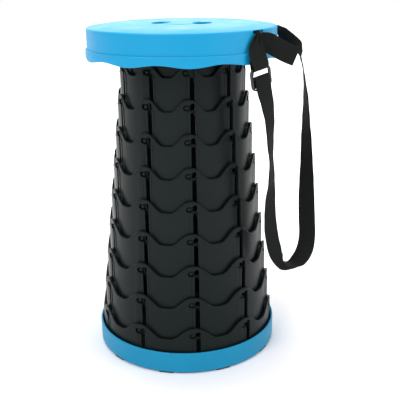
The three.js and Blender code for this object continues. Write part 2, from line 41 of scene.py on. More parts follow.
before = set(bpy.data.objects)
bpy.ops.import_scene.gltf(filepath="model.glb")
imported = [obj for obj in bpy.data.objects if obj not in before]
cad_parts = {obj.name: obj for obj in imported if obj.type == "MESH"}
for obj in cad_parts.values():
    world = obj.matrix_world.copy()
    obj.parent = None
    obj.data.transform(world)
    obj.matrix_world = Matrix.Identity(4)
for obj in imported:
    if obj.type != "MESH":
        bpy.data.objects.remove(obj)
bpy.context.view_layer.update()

# Sizes of the model, in millimetres and degrees
SEAT_HEIGHT = 446
BASE_HEIGHT = 30
BASE_RADIUS = 126.3
FOOT_STANDOFF = 1.2
FLOOR_THICKNESS = 2
SECTORS = 10
RINGS = 9
RING_RISE = 42.4
FIRST_LINK_DROP = 3.6
OUTER_RING_RADIUS = 121.6
RING_STEP = 4.8
RING_WALL = 2.4
FIRST_FOOT = 3.5
SLEEVE_TOP = 442.7
WAVE_DEPTH = 15.8
BUMP_SHARE = 0.85
CREST_FULLNESS = 1.22
PEG_RADIUS = 3.2
POCKET_RADIUS = 3.6
POCKET_BELOW_CREST = 10.4
PEG_LEFT = 3.1
SLOT_BELOW_CREST = 4.6
PEG_ABOVE_FOOT = 10.4
GROOVE_DEPTH = 1.45
RUNNING_GAP = 0.35
FLAT_HALF_WIDTH = 8.6
TRAY_WALL = 2.4
PLATE_RADIUS = 103.7
FIT_GAP = 0.3
LUG_HALF_WIDTH = 6
LUG_LOW = 8
LUG_HIGH = 12
LUG_REACH = 3.1
FOOT_SIZE = (22, 9)
FOOT_RECESS = 0.8
COVER_RADIUS = 124.5
COVER_WALL = 2.1
COVER_UNDERSIDE = 443
COVER_FOOT = 408.6
RIM_RADIUS = 126.6
RIM_BAND = 1.8
RIM_TOP = 416.2
RIM_BOTTOM = 402.4
LOBE_DEPTH = 3.7
RIM_SHOULDER = 2.2
GRIP_LIP = 9
GRIP_WALL = 2
BOSS_CIRCLE = 66
BOSS_RADIUS = 4.5
BOSS_HEIGHT = 6
SCREWS = 5
STRAP_WIDTH = 24
STRAP_THICKNESS = 1.4
STRAP_SLOTS = ((43.2, 19), (92.4, 26))
STRAP_SLOT_HEIGHT = 3
STRAP_SLOT_DROP = 4.3
STRAP_SLOT_DEPTH = 6
BUCKLE_CENTRE = (87.2, -100.8, 386.5)
BUCKLE_TURN = 32
BUCKLE_TILT = 10
BUCKLE_WIDTH = 33
BUCKLE_HEIGHT = 28.5
BUCKLE_DEPTH = 2.4
BUCKLE_BAR = 2.6
BUCKLE_RAIL = 4
SECTOR = TURN / SECTORS

# Sizes that follow the photograph where the model's are a little off, in millimetres and degrees
SLOT_WIDTH = 5.8
SLOT_RIGHT = 5
GRIP_MIDDLE = 28
GRIP_HALF_SIZE = (12, 20)
GRIP_TURN = -20
COVER_EDGE = 2.4
DOME_START = 96
DOME_DROP = 3
FOOT_CIRCLE = 121.2


# Camera, in metres and degrees

CAMERA_PLACE = (-0.07296, -0.9482, 0.5131)
CAMERA_HEADING = -5.68
CAMERA_DOWN = 18.11
CAMERA_ROLL = -0.69
LENS_MM = 63.73
SENSOR_MM = 36


def make_camera():
    data = bpy.data.cameras.new("photo_camera")
    data.sensor_width = SENSOR_MM
    data.lens = LENS_MM
    camera = bpy.data.objects.new("photo_camera", data)
    bpy.context.collection.objects.link(camera)
    heading = Matrix.Rotation(math.radians(CAMERA_HEADING), 4, "Z")
    tilt = Matrix.Rotation(math.radians(90 - CAMERA_DOWN), 4, "X")
    roll = Matrix.Rotation(math.radians(CAMERA_ROLL), 4, "Z")
    place_at = Matrix.Translation(CAMERA_PLACE)
    camera.matrix_world = place_at @ heading @ tilt @ roll
    bpy.context.scene.camera = camera


make_camera()


# Materials

# Sockets of the mix node that hold colours, by number
MIX_SHARE, MIX_FIRST, MIX_SECOND, MIX_RESULT = 0, 6, 7, 2


class Nodes:
    """A node tree, with short calls that add a node and wire its inputs."""

    def __init__(self, tree):
        self.tree = tree

    def add(self, kind, settings=None, **inputs):
        node = self.tree.nodes.new(kind)
        for key, value in (settings or {}).items():
            setattr(node, key, value)
        for key, value in inputs.items():
            self.feed(node.inputs[key.replace("_", " ")], value)
        return node

    def feed(self, socket, value):
        if isinstance(value, bpy.types.NodeSocket):
            self.tree.links.new(value, socket)
        else:
            socket.default_value = value

    def math(self, operation, first, second=0.0):
        node = self.tree.nodes.new("ShaderNodeMath")
        node.operation = operation
        self.feed(node.inputs[0], first)
        self.feed(node.inputs[1], second)
        return node.outputs[0]

    def ramp(self, value, low, high, dark, light):
        node = self.add("ShaderNodeMapRange")
        self.feed(node.inputs["Value"], value)
        for key, number in (("From Min", low), ("From Max", high), ("To Min", dark), ("To Max", light)):
            node.inputs[key].default_value = number
        return node.outputs[0]

    def mix(self, share, first, second):
        node = self.tree.nodes.new("ShaderNodeMix")
        node.data_type = "RGBA"
        self.feed(node.inputs[MIX_SHARE], share)
        self.feed(node.inputs[MIX_FIRST], first)
        self.feed(node.inputs[MIX_SECOND], second)
        return node.outputs[MIX_RESULT]

    def noise(self, scale, detail=2.0, roughness=0.5, vector=None):
        node = self.add("ShaderNodeTexNoise", Scale=scale, Detail=detail, Roughness=roughness)
        if vector is not None:
            self.feed(node.inputs["Vector"], vector)
        return node.outputs["Fac"]

    def bump(self, height, strength, distance):
        node = self.add("ShaderNodeBump", Strength=strength, Distance=distance, Height=height)
        return node.outputs["Normal"]

    def seen(self):
        """1 for what the camera sees itself, in a reflection or through glass, else 0."""
        path = self.add("ShaderNodeLightPath").outputs
        either = self.math("MAXIMUM", path["Is Glossy Ray"], path["Is Transmission Ray"])
        return self.math("MAXIMUM", path["Is Camera Ray"], either)


class Surface(Nodes):
    """A new material's node tree."""

    def __init__(self, name):
        self.material = bpy.data.materials.new(name)
        self.material.use_nodes = True
        super().__init__(self.material.node_tree)
        self.shader = self.tree.nodes["Principled BSDF"]


def linear(red, green, blue):
    """An sRGB colour, 0 to 255, as the linear colour that a socket takes."""
    def one(value):
        share = value / 255
        return share / 12.92 if share <= 0.04045 else ((share + 0.055) / 1.055) ** 2.4
    return (one(red), one(green), one(blue), 1.0)


def shaded(colour, share):
    return tuple(c * share for c in colour[:3]) + (1,)


def moulded_plastic(name, colour, worn, roughness, grain, scuff=0.12, shine=0.5, painted_shade_within=0):
    """Satin moulded plastic with a fine grain, cloudy gloss and faint scuffs, and painted shade inside a
    radius.
    """
    n = Surface(name)
    where = n.add("ShaderNodeTexCoord").outputs["Object"]
    cloud = n.noise(14, 4, 0.6, where)
    body = n.mix(n.ramp(cloud, 0.35, 0.7, 0.0, 0.35), colour, shaded(colour, 0.86))
    # Painted shade: inside the radius the plastic's colour is darkened to 12 per cent of itself.
    if painted_shade_within:
        split = n.add("ShaderNodeSeparateXYZ", Vector=where).outputs
        square = n.math("ADD", n.math("MULTIPLY", split["X"], split["X"]),
                        n.math("MULTIPLY", split["Y"], split["Y"]))
        inside = n.ramp(n.math("SQRT", square), painted_shade_within, painted_shade_within + MM, 1.0, 0.0)
        body = n.mix(inside, body, shaded(colour, 0.12))
    scratches = n.ramp(n.noise(420, 4, 0.75, where), 0.62, 0.78, 0.0, scuff)
    n.feed(n.shader.inputs["Base Color"], n.mix(scratches, body, worn))
    fine = n.noise(1500, 2, 0.5, where)
    gloss = n.ramp(n.noise(30, 3, 0.6, where), 0.3, 0.7, roughness - 0.05, roughness + 0.07)
    n.feed(n.shader.inputs["Roughness"], n.math("ADD", gloss, n.math("MULTIPLY", scratches, 0.6)))
    n.feed(n.shader.inputs["Normal"], n.bump(fine, grain, 0.0004))
    n.shader.inputs["IOR"].default_value = 1.5
    n.shader.inputs["Specular IOR Level"].default_value = shine
    return n.material


# Spacing of the webbing's ribs and wefts, in millimetres
RIB_SPACING = 1.5
WEFT_SPACING = 1.3


def webbing_cloth(name, colour, light):
    """Woven strap: flat warp ribs crossed by a finer weft, laid out by the strap's own lengths."""
    n = Surface(name)
    uv = n.add("ShaderNodeUVMap", {"uv_map": "UVMap"}).outputs["UV"]
    split = n.add("ShaderNodeSeparateXYZ", Vector=uv)
    across = n.math("MULTIPLY", split.outputs["X"], STRAP_WIDTH / RIB_SPACING)
    along = n.math("MULTIPLY", split.outputs["Y"], 1 / WEFT_SPACING)
    column = n.math("FLOOR", across)
    shifted = n.math("ADD", along, n.math("MULTIPLY", column, 0.5))
    rib = n.math("ABSOLUTE", n.math("SINE", n.math("MULTIPLY", across, math.pi)))
    weft = n.math("ABSOLUTE", n.math("SINE", n.math("MULTIPLY", shifted, math.pi)))
    weave = n.math("MULTIPLY", n.math("POWER", rib, 0.5), n.math("POWER", weft, 0.6))
    fuzz = n.noise(2600, 2, 0.6, n.add("ShaderNodeTexCoord").outputs["Object"])
    height = n.math("ADD", weave, n.math("MULTIPLY", fuzz, 0.25))
    tone = n.ramp(weave, 0.1, 0.95, 0.0, 1.0)
    n.feed(n.shader.inputs["Base Color"], n.mix(tone, colour, light))
    n.feed(n.shader.inputs["Roughness"], n.ramp(fuzz, 0.3, 0.7, 0.62, 0.8))
    n.feed(n.shader.inputs["Normal"], n.bump(height, 0.6, 0.00035))
    n.shader.inputs["Specular IOR Level"].default_value = 0.06
    n.shader.inputs["Sheen Weight"].default_value = 0.02
    n.shader.inputs["Sheen Roughness"].default_value = 0.4
    return n.material


def rubber(name, colour):
    n = Surface(name)
    where = n.add("ShaderNodeTexCoord").outputs["Object"]
    dust = n.ramp(n.noise(90, 4, 0.65, where), 0.45, 0.75, 0.0, 0.3)
    n.feed(n.shader.inputs["Base Color"], n.mix(dust, colour, linear(96, 94, 90)))
    n.feed(n.shader.inputs["Roughness"], n.ramp(n.noise(60, 3, 0.5, where), 0.3, 0.7, 0.7, 0.88))
    n.feed(n.shader.inputs["Normal"], n.bump(n.noise(900, 3, 0.6, where), 0.3, 0.0004))
    return n.material


def zinc_steel(name):
    n = Surface(name)
    where = n.add("ShaderNodeTexCoord").outputs["Object"]
    spangle = n.noise(500, 3, 0.6, where)
    tone = n.mix(n.ramp(spangle, 0.3, 0.7, 0.0, 1.0), linear(178, 180, 184), linear(205, 206, 208))
    n.feed(n.shader.inputs["Base Color"], tone)
    n.feed(n.shader.inputs["Roughness"], n.ramp(spangle, 0.3, 0.7, 0.26, 0.4))
    n.feed(n.shader.inputs["Normal"], n.bump(n.noise(1800, 2, 0.5, where), 0.15, 0.0002))
    n.shader.inputs["Metallic"].default_value = 1.0
    return n.material


# Radius, in metres, inside which painted shade darkens the tray's plastic, where the lowest ring stands close
# to it
TRAY_PAINTED_SHADE_RADIUS = (BASE_RADIUS - 3.8) * MM

SEAT_BLUE = moulded_plastic("seat_blue", linear(8, 164, 218), linear(110, 200, 236),
                            roughness=0.42, grain=0.1, scuff=0.1, shine=0.35)
BASE_BLUE = moulded_plastic("base_blue", linear(16, 147, 192), linear(110, 185, 215),
                            roughness=0.45, grain=0.1, shine=0.25, painted_shade_within=TRAY_PAINTED_SHADE_RADIUS)
RING_BLACK = moulded_plastic("ring_black", linear(22, 29, 29), linear(60, 66, 66),
                             roughness=0.34, grain=0.16, shine=0.1)
BUCKLE_BLACK = moulded_plastic("buckle_black", linear(26, 27, 28), linear(90, 92, 92),
                               roughness=0.36, grain=0.12)
WEBBING = webbing_cloth("strap_webbing", linear(18, 20, 19), linear(36, 38, 37))
RUBBER = rubber("foot_rubber", linear(34, 35, 37))
STEEL = zinc_steel("screw_steel")


# Mesh tools

def around(radius, angle, z):
    return Vector((radius * math.sin(angle), -radius * math.cos(angle), z))


def new_object(name, points, faces):
    mesh = bpy.data.meshes.new(name)
    mesh.from_pydata([tuple(p) for p in points], [], faces)
    obj = bpy.data.objects.new(name, mesh)
    bpy.context.collection.objects.link(obj)
    return obj


def settle(obj):
    """The mesh with its modifiers worked in."""
    graph = bpy.context.evaluated_depsgraph_get()
    mesh = bpy.data.meshes.new_from_object(obj.evaluated_get(graph))
    obj.modifiers.clear()
    obj.data = mesh
    return obj


def boolean(obj, tool, operation="DIFFERENCE"):
    modifier = obj.modifiers.new("boolean", "BOOLEAN")
    modifier.operation = operation
    modifier.solver = "EXACT"
    modifier.object = tool
    settle(obj)
    bpy.data.objects.remove(tool)
    return obj


def bevel(obj, width, segments=2, angle=50):
    modifier = obj.modifiers.new("bevel", "BEVEL")
    modifier.width = width
    modifier.segments = segments
    modifier.limit_method = "ANGLE"
    modifier.angle_limit = math.radians(angle)
    modifier.use_clamp_overlap = False
    modifier.harden_normals = True
    return settle(obj)


def object_of(name, bm, used):
    """An object from a built mesh, in place of the objects that it was made from."""
    mesh = bpy.data.meshes.new(name)
    bm.to_mesh(mesh)
    bm.free()
    for obj in used:
        bpy.data.objects.remove(obj)
    obj = bpy.data.objects.new(name, mesh)
    bpy.context.collection.objects.link(obj)
    return obj


def joined(name, objects):
    """One object from several, each keeping its own closed skin."""
    bm = bmesh.new()
    for obj in objects:
        obj.data.transform(obj.matrix_world)
        bm.from_mesh(obj.data)
    return object_of(name, bm, objects)


def turned_copies(name, obj, angles):
    """Copies of an object turned about Z, as one object."""
    bm = bmesh.new()
    for angle in angles:
        mesh = obj.data.copy()
        mesh.transform(Matrix.Rotation(angle, 4, "Z"))
        bm.from_mesh(mesh)
        bpy.data.meshes.remove(mesh)
    return object_of(name, bm, [obj])


def place(obj, body, slot, material, nodes=(), smooth=40):
    """Finishes an object: smooth shading, metres, its material, its body and the nodes it stands for."""
    obj.data.transform(Matrix.Scale(MM, 4))
    obj.data.materials.clear()
    obj.data.materials.append(material)
    obj.data.polygons.foreach_set("use_smooth", [True] * len(obj.data.polygons))
    obj.data.set_sharp_from_angle(angle=math.radians(smooth))
    if slot != "strap_webbing":
        modifier = obj.modifiers.new("normals", "WEIGHTED_NORMAL")
        modifier.weight = 80
        modifier.keep_sharp = True
        settle(obj)
    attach(obj, body)
    if nodes:
        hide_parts(*nodes)
    return obj


def lathe(name, outline, steps, capped=False):
    """A solid turned about Z from a closed outline, or from one that two flat caps close."""
    points, faces = [], []
    count = len(outline)
    for i in range(steps):
        points += [around(radius, TURN * i / steps, z) for radius, z in outline]
    for i in range(steps):
        k = (i + 1) % steps
        for j in range(count - 1 if capped else count):
            m = (j + 1) % count
            faces.append((i * count + j, k * count + j, k * count + m, i * count + m))
    if capped:
        faces.append([i * count for i in reversed(range(steps))])
        faces.append([i * count + count - 1 for i in range(steps)])
    return new_object(name, points, faces)


def arc(x, z, radius, start, end, steps):
    """Points on an arc, by angles in degrees."""
    found = []
    for i in range(steps + 1):
        turn = math.radians(start + (end - start) * i / steps)
        found.append((x + radius * math.cos(turn), z + radius * math.sin(turn)))
    return found


def circle(radius, steps, ahead=0):
    """Points on a circle whose middle lies ahead of the axis, towards the front."""
    return arc(0, -ahead, radius, 0, 360 - 360 / steps, steps - 1)


def prism(name, outline, low, high, lift):
    """An outline pushed from one depth to another; lift(x, z, depth) puts each of its points."""
    count = len(outline)
    points = [lift(x, z, low) for x, z in outline] + [lift(x, z, high) for x, z in outline]
    faces = [list(reversed(range(count))), list(range(count, 2 * count))]
    for i in range(count):
        k = (i + 1) % count
        faces.append((i, k, count + k, count + i))
    obj = new_object(name, points, faces)
    bm = bmesh.new()
    bm.from_mesh(obj.data)
    bmesh.ops.recalc_face_normals(bm, faces=bm.faces)
    bm.to_mesh(obj.data)
    bm.free()
    return obj


def tube_faces(rows, count):
    """Faces of a closed tube whose points come in rows, with a flat end at either side."""
    faces = []
    for i in range(rows - 1):
        for j in range(count):
            k = (j + 1) % count
            faces.append((i * count + j, i * count + k, (i + 1) * count + k, (i + 1) * count + j))
    last = (rows - 1) * count
    faces.append(list(reversed(range(count))))
    faces.append(list(range(last, last + count)))
    return faces


def outward(x, z, depth):
    """For a prism that is pushed out of the front of the stool."""
    return Vector((x, -depth, z))


def upward(x, y, height):
    """For a prism that is pushed up."""
    return Vector((x, y, height))


def rectangle(left, right, low, high):
    return [(left, low), (right, low), (right, high), (left, high)]


def turns_from(start, count=SECTORS):
    """Turns of evenly spaced copies, the first a share of one space from the front."""
    return [(i + start) * TURN / count for i in range(count)]


# Rings

LIP_HEIGHT = 2.6
LIP_SLOPE = 0.5
LIP_RISE = 0.5
LIP_EDGE = 0.9
BAND_SLOPE = 0.8
BAND_RISE = 0.4
BAND_POINTS = (-FLAT_HALF_WIDTH, -6.2, -4.1, -2, 0, 2, 4.1, 6.2, FLAT_HALF_WIDTH)
LINK_STEPS = 14
RING_EDGE = 0.35
SLOT_CORNER = 0.8
COLLAR_LEFT = 4.2
COLLAR_RIGHT = 2.6
COLLAR_RISE = 0.3
COLLAR_ROOT = 1.2
COLLAR_BELOW_SLOT = 1.5
COLLAR_BELOW_POCKET = 0.8
OUTER_LIP_RISE = 0.3
OUTER_COLLAR_RISE = 0.08
ARCH_RADIUS = 2.2
ARCH_SPRING = 1.6
PEG_STEPS = 20
PEG_SINK = 0.35
PEG_MIDDLE = 0.2 - PEG_LEFT

# Radii of a peg's domed face, each with its depth behind the tip
PEG_DOME = ((2.9, 0.9), (2.7, 0.5), (2.3, 0.22), (1.5, 0.06), (0.7, 0), (0.02, 0))

# How far a cutting shape reaches past a face that it cuts, or a multiple of it
CUT_PAST = 1


def ring_radius(n):
    return OUTER_RING_RADIUS - n * RING_STEP


def ring_foot(n):
    return FIRST_FOOT + (n * RING_RISE - FIRST_LINK_DROP if n else 0)


def ring_crest(n):
    return ring_foot(n + 1) + PEG_ABOVE_FOOT + POCKET_BELOW_CREST


def wave_drop(share):
    """Drop of the rim below its crest, at a share of a sector from the crest."""
    across = min(2 * abs(share - round(share)) / BUMP_SHARE, 1) ** CREST_FULLNESS
    return WAVE_DEPTH * (1 - math.cos(math.pi * across)) / 2


def wave_slope(share, radius):
    step = 0.002
    return (wave_drop(share + step) - wave_drop(share - step)) / (2 * step * SECTOR * radius)


def ring_columns(radius):
    """Columns of one sector: share of the sector, place on the flat band or None, and rise."""
    columns = [(x / radius / SECTOR, x, BAND_RISE) for x in BAND_POINTS]
    first = (FLAT_HALF_WIDTH + BAND_SLOPE) / radius / SECTOR
    for i in range(LINK_STEPS + 1):
        columns.append((first + (1 - 2 * first) * i / LINK_STEPS, None, 0))
    return columns


def ring_shell(name, n, crest=None):
    """A ring of wall with a wavy rim, or a level one at crest, and a lip along the rim."""
    radius, foot = ring_radius(n), ring_foot(n)
    inner = radius - RING_WALL
    lip_rise = LIP_RISE if n else OUTER_LIP_RISE
    wavy = crest is None
    top = ring_crest(n) if wavy else crest
    edge = FLAT_HALF_WIDTH / radius
    points, faces, rows = [], [], []
    for s in range(SECTORS):
        for share, x, rise in ring_columns(radius):
            angle = (s + share) * SECTOR
            rim = top - wave_drop(share) if wavy else top
            stretch = math.hypot(1, wave_slope(share, radius)) if wavy else 1

            def at(r, out, z, x=x, angle=angle, s=s):
                if x is None:
                    return around(r + out, angle, z)
                flat = Vector((x * r / radius, -(r * math.cos(edge) + out), z))
                return Matrix.Rotation(s * SECTOR, 3, "Z") @ flat

            lip = (LIP_HEIGHT + LIP_SLOPE) * stretch
            column = {
                "low": at(radius, rise, rim - lip),
                "mid": at(radius, rise + lip_rise, rim - LIP_HEIGHT * stretch),
                "high": at(radius, rise + lip_rise * 0.7, rim - LIP_EDGE * stretch),
                "top": at(radius, rise, rim),
                "inner": at(inner, 0, rim),
            }
            if x is None or abs(x) == FLAT_HALF_WIDTH:
                column["foot"] = at(radius, rise, foot)
                column["inner_foot"] = at(inner, 0, foot)
            index = {}
            for key, point in column.items():
                index[key] = len(points)
                points.append(point)
            rows.append(index)
    last = len(BAND_POINTS) - 1
    per_sector = len(rows) // SECTORS
    for i, a in enumerate(rows):
        b = rows[(i + 1) % len(rows)]
        for low, high in (("low", "mid"), ("mid", "high"), ("high", "top"), ("top", "inner")):
            faces.append((a[low], b[low], b[high], a[high]))
        if i % per_sector < last:
            continue
        faces.append((a["foot"], b["foot"], b["low"], a["low"]))
        faces.append((a["inner"], b["inner"], b["inner_foot"], a["inner_foot"]))
        faces.append((a["inner_foot"], b["inner_foot"], b["foot"], a["foot"]))
    for s in range(SECTORS):
        band = rows[s * per_sector:s * per_sector + last + 1]
        a, b = band[0], band[-1]
        faces.append([a["foot"], b["foot"]] + [c["low"] for c in reversed(band)])
        faces.append([b["inner_foot"], a["inner_foot"]] + [c["inner"] for c in band])
        faces.append((a["inner_foot"], b["inner_foot"], b["foot"], a["foot"]))
    return new_object(name, points, faces)


def window_outline(foot, crest):
    """Slot with a side pocket at its top, anticlockwise from outside."""
    left, right = SLOT_RIGHT - SLOT_WIDTH / 2, SLOT_RIGHT + SLOT_WIDTH / 2
    half = SLOT_WIDTH / 2
    bottom = foot + PEG_ABOVE_FOOT - POCKET_RADIUS
    middle = crest - SLOT_BELOW_CREST - half
    pocket = crest - POCKET_BELOW_CREST
    meet = 180 - math.degrees(math.asin((pocket + POCKET_RADIUS - middle) / half))
    outline = arc(left + SLOT_CORNER, bottom + SLOT_CORNER, SLOT_CORNER, 180, 270, 3)
    outline += arc(right - SLOT_CORNER, bottom + SLOT_CORNER, SLOT_CORNER, 270, 360, 3)
    outline += arc(SLOT_RIGHT, middle, half, 0, meet, 9)
    outline += arc(-PEG_LEFT, pocket, POCKET_RADIUS, 90, 270, 12)
    outline.append((left, pocket - POCKET_RADIUS))
    return outline


def groove_outline(foot, crest):
    """Blind channel inside the wall, below the pocket."""
    right = SLOT_RIGHT - SLOT_WIDTH / 2 + FIT_GAP
    bottom = foot + PEG_ABOVE_FOOT - POCKET_RADIUS
    return rectangle(-PEG_LEFT - POCKET_RADIUS, right, bottom, crest - POCKET_BELOW_CREST)


def add_collars(obj, n):
    """Low raised strips that frame the slots below their pockets."""
    radius, foot, crest = ring_radius(n), ring_foot(n), ring_crest(n)
    left = SLOT_RIGHT - SLOT_WIDTH / 2 - COLLAR_LEFT
    right = SLOT_RIGHT + SLOT_WIDTH / 2 + COLLAR_RIGHT
    low = foot + PEG_ABOVE_FOOT - POCKET_RADIUS - COLLAR_BELOW_SLOT
    high = crest - POCKET_BELOW_CREST - POCKET_RADIUS - COLLAR_BELOW_POCKET
    face = radius * math.cos(FLAT_HALF_WIDTH / radius) + BAND_RISE
    rise = COLLAR_RISE if n else OUTER_COLLAR_RISE
    collar = prism("collar", rectangle(left, right, low, high), face - COLLAR_ROOT, face + rise, outward)
    return boolean(obj, turned_copies("collars", collar, turns_from(0)), "UNION")


def cut_windows(obj, n):
    radius, foot, crest = ring_radius(n), ring_foot(n), ring_crest(n)
    inside = (radius - RING_WALL) * math.cos(FLAT_HALF_WIDTH / radius)
    near = inside - 2 * CUT_PAST
    groove = prism("groove", groove_outline(foot, crest), near, inside + GROOVE_DEPTH, outward)
    window = prism("window", window_outline(foot, crest), near, radius + 3 * CUT_PAST, outward)
    boolean(obj, turned_copies("grooves", groove, turns_from(0)))
    return boolean(obj, turned_copies("windows", window, turns_from(0)))


def cut_foot_arches(obj, n):
    """Low arches in the foot of the wall, under each slot."""
    radius, foot = ring_radius(n), ring_foot(n)
    outline = [(SLOT_RIGHT + ARCH_RADIUS, foot - CUT_PAST)]
    outline += arc(SLOT_RIGHT, foot + ARCH_SPRING, ARCH_RADIUS, 0, 180, 8)
    outline.append((SLOT_RIGHT - ARCH_RADIUS, foot - CUT_PAST))
    near = radius - RING_WALL - 2 * CUT_PAST
    arch = prism("arch", outline, near, radius + 2 * CUT_PAST, outward)
    return boolean(obj, turned_copies("arches", arch, turns_from(0)))


def pegs(n):
    """Round pegs with a domed face, resting low in their pockets."""
    radius = ring_radius(n)
    outer = ring_radius(n - 1)
    tip = (outer - RING_WALL) * math.cos(FLAT_HALF_WIDTH / outer) + GROOVE_DEPTH - RUNNING_GAP
    height = ring_foot(n) + PEG_ABOVE_FOOT - PEG_SINK
    profile = [(PEG_RADIUS + 0.3, radius - 0.6), (PEG_RADIUS + 0.25, radius + 0.1)]
    profile.append((PEG_RADIUS, radius + 0.4))
    profile += [(r, tip - behind) for r, behind in PEG_DOME]
    points = []
    for r, depth in profile:
        for i in range(PEG_STEPS):
            turn = TURN * i / PEG_STEPS
            points.append(Vector((PEG_MIDDLE + r * math.cos(turn), -depth, height + r * math.sin(turn))))
    faces = tube_faces(len(profile), PEG_STEPS)
    return turned_copies("pegs", new_object("peg", points, faces), turns_from(0))


def lugs():
    """Snap lugs of the outermost ring, under its troughs."""
    outline = rectangle(-LUG_HALF_WIDTH, LUG_HALF_WIDTH, ring_foot(0) + LUG_LOW, ring_foot(0) + LUG_HIGH)
    root = OUTER_RING_RADIUS - RING_WALL / 2
    lug = prism("lug", outline, root, OUTER_RING_RADIUS + LUG_REACH, outward)
    bevel(lug, 0.5)
    return turned_copies("lugs", lug, turns_from(0.5))


def make_ring(n):
    name = f"ring_wall_{n + 1}"
    obj = ring_shell(name, n)
    add_collars(obj, n)
    cut_windows(obj, n)
    if n > 0:
        cut_foot_arches(obj, n)
    bevel(obj, RING_EDGE)
    obj = joined(name, [obj, pegs(n) if n else lugs()])
    body = "base" if n == 0 else f"stage_{n + 1}"
    return place(obj, body, "ring_black", RING_BLACK, [f"tube_ring_{n + 1}"], smooth=32)


EAR_RADIUS = 6
EAR_THICKNESS = 2
EAR_HOLE = 1.9


def make_sleeve():
    """Innermost ring, with a level top and an inward ear for each screw."""
    obj = ring_shell("sleeve_wall", RINGS, SLEEVE_TOP)
    cut_foot_arches(obj, RINGS)
    bevel(obj, RING_EDGE)
    top = COVER_UNDERSIDE - BOSS_HEIGHT - FIT_GAP
    low = top - EAR_THICKNESS
    root = ring_radius(RINGS) - RING_WALL / 2
    outline = [(-EAR_RADIUS, -root), (EAR_RADIUS, -root), (EAR_RADIUS, -BOSS_CIRCLE)]
    outline += arc(0, -BOSS_CIRCLE, EAR_RADIUS, 0, 180, 10)[1:-1] + [(-EAR_RADIUS, -BOSS_CIRCLE)]
    ear = prism("ear", outline, low, top, upward)
    hole = prism("hole", circle(EAR_HOLE, 30, BOSS_CIRCLE), low - CUT_PAST, top + CUT_PAST, upward)
    boolean(ear, hole)
    bevel(ear, 0.3)
    ears = turned_copies("ears", ear, turns_from(0.5, SCREWS))
    obj = joined("sleeve_wall", [obj, ears, pegs(RINGS)])
    return place(obj, "seat", "ring_black", RING_BLACK, ["seat_sleeve"], smooth=32)


# Base tray and feet

TRAY_EDGE = 0.9
TRAY_INNER_EDGE = 0.6
TRAY_FOOT_EDGE = 2.4
TRAY_FLANGE = 14
TRAY_RECESS_CORNER = 4
CHAMFER = 0.4
FOOT_CORNER = 3.8
FOOT_BOTTOM = 0.35
FOOT_SUNK = 0.5
PLATE_BORE = 12
PLATE_STEP = 0.5
RIDGES = 6
RIDGE_SPACING = 3
RIDGE_SIZE = (1.4, 7)
RIDGE_CORNER = 0.6


def make_tray():
    bottom, top = FOOT_STANDOFF, BASE_HEIGHT
    floor = bottom + FLOOR_THICKNESS
    inner, edge = BASE_RADIUS - TRAY_WALL, PLATE_RADIUS + FIT_GAP
    flange = BASE_RADIUS - TRAY_FLANGE
    outline = arc(inner - TRAY_EDGE, floor + TRAY_EDGE, TRAY_EDGE, 270, 360, 3)
    outline += arc(inner + TRAY_INNER_EDGE, top - TRAY_INNER_EDGE, TRAY_INNER_EDGE, 180, 90, 3)
    outline += arc(BASE_RADIUS - TRAY_EDGE, top - TRAY_EDGE, TRAY_EDGE, 90, 0, 5)
    outline += arc(BASE_RADIUS - TRAY_FOOT_EDGE, bottom + TRAY_FOOT_EDGE, TRAY_FOOT_EDGE, 0, -90, 6)
    outline += [(flange, bottom), (edge + CHAMFER, bottom), (edge, bottom + CHAMFER)]
    outline += [(edge, floor - CHAMFER), (edge + CHAMFER, floor), (flange, floor)]
    tray = lathe("tray_shell", list(reversed(outline)), 240)
    half = LUG_HALF_WIDTH + FIT_GAP
    low, high = FIRST_FOOT + LUG_LOW - FIT_GAP, FIRST_FOOT + LUG_HIGH + FIT_GAP
    pocket = prism("pocket", rectangle(-half, half, low, high), inner - CUT_PAST,
                   OUTER_RING_RADIUS + LUG_REACH + FIT_GAP, outward)
    boolean(tray, turned_copies("pockets", pocket, turns_from(0.5)))
    length, width = (size + 2 * FIT_GAP for size in FOOT_SIZE)
    recess = prism("recess", rounded_bar(length, width, TRAY_RECESS_CORNER, FOOT_CIRCLE),
                   bottom - CUT_PAST, bottom + FOOT_RECESS, upward)
    boolean(tray, turned_copies("recesses", recess, turns_from(0.5)))
    return place(tray, "base", "base_blue", BASE_BLUE, ["base_tray"])


def make_plate():
    """Dark disc that closes the middle of the tray, with shallow stiffening steps in both faces."""
    low, high = FOOT_STANDOFF, FOOT_STANDOFF + FLOOR_THICKNESS
    low_in, high_in = low + PLATE_STEP, high - PLATE_STEP
    outline = [(PLATE_BORE, low_in), (30, low_in), (30.5, low), (54, low), (54.5, low_in)]
    outline += [(76, low_in), (76.5, low), (PLATE_RADIUS - CHAMFER, low), (PLATE_RADIUS, low + CHAMFER)]
    outline += [(PLATE_RADIUS, high - CHAMFER), (PLATE_RADIUS - CHAMFER, high), (78.5, high), (78, high_in)]
    outline += [(74.5, high_in), (74, high), (56.5, high), (56, high_in), (52.5, high_in)]
    outline += [(52, high), (PLATE_BORE, high)]
    plate = lathe("plate_disc", outline, 180, capped=True)
    # Painted shade: the disc takes the rings' black, which stands for the shade inside the stool seen through
    # the slots.
    return place(plate, "base", "ring_black", RING_BLACK, ["base_plate"])


def rounded_bar(length, width, corner, middle):
    """Outline of a bar with round corners, across the front at a distance from the axis."""
    x, y = length / 2 - corner, width / 2 - corner
    outline = []
    for sx, sy, start in ((1, 1, 0), (-1, 1, 90), (-1, -1, 180), (1, -1, 270)):
        outline += arc(sx * x, -middle + sy * y, corner, start, start + 90, 5)
    return outline


